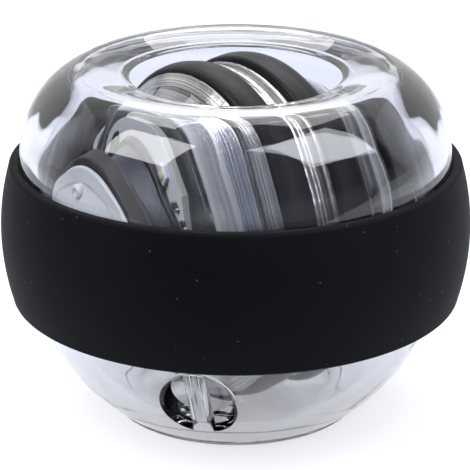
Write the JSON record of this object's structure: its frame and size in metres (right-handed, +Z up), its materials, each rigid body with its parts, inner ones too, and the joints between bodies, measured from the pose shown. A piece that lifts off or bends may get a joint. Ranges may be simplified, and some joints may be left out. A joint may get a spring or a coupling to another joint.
{
  "type": "gyroscopic wrist ball",
  "caption": "Hand-held gyroscopic exercise ball: clear casing with a finger opening and flat base, rubber grip band, and a heavy rotor on an axle carried by a race ring.",
  "frame": {"origin": "centre of the flat base's underside, on the surface the ball stands on", "axes": "+Z up through the finger opening; -Y is the front, with the strap recess a little to its left; at rest the rotor's axle lies level, 34 degrees round from +X"},
  "size_m": [0.0704, 0.0704, 0.0546],
  "materials": {
    "clear_shell": "gloss",
    "grip_rubber": "matte",
    "race_plastic": "satin",
    "white_plastic": "satin",
    "ferrite": "satin",
    "axle_steel": "polished",
    "cast_zinc": "satin",
    "tyre_rubber": "satin",
    "clear_cover": "gloss",
    "board_laminate": "satin",
    "bobbin_nylon": "satin",
    "coil_copper": "satin",
    "led_resin": "gloss",
    "chip_resin": "satin"
  },
  "bodies": {
    "casing": {"upper_shell": "clear_shell", "lower_shell": "clear_shell", "grip_band": "grip_rubber"},
    "race": {"race_ring": "race_plastic", "left_magnet_carrier": "white_plastic", "left_ring_magnet": "ferrite", "right_magnet_carrier": "white_plastic", "right_ring_magnet": "ferrite"},
    "rotor": {"axle": "axle_steel", "flywheel": "cast_zinc", "left_tyre": "tyre_rubber", "left_hub_cover": "clear_cover", "left_circuit_board": "board_laminate", "left_coil_bobbin": "bobbin_nylon", "left_coil": "coil_copper", "left_led_1": "led_resin", "left_led_2": "led_resin", "left_led_3": "led_resin", "left_chip_1": "chip_resin", "left_chip_2": "chip_resin", "right_tyre": "tyre_rubber", "right_hub_cover": "clear_cover", "right_circuit_board": "board_laminate", "right_coil_bobbin": "bobbin_nylon", "right_coil": "coil_copper", "right_led_1": "led_resin", "right_led_2": "led_resin", "right_led_3": "led_resin", "right_chip_1": "chip_resin", "right_chip_2": "chip_resin"}
  },
  "joints": [
    {"name": "race_turn", "type": "hinge", "parent": "casing", "child": "race", "pos_m": [0, 0, 0.0288], "axis": [0, 0, 1], "continuous": true},
    {"name": "rotor_spin", "type": "hinge", "parent": "race", "child": "rotor", "pos_m": [0, 0, 0.0288], "axis": [0.829, 0.5592, 0], "continuous": true}
  ]
}
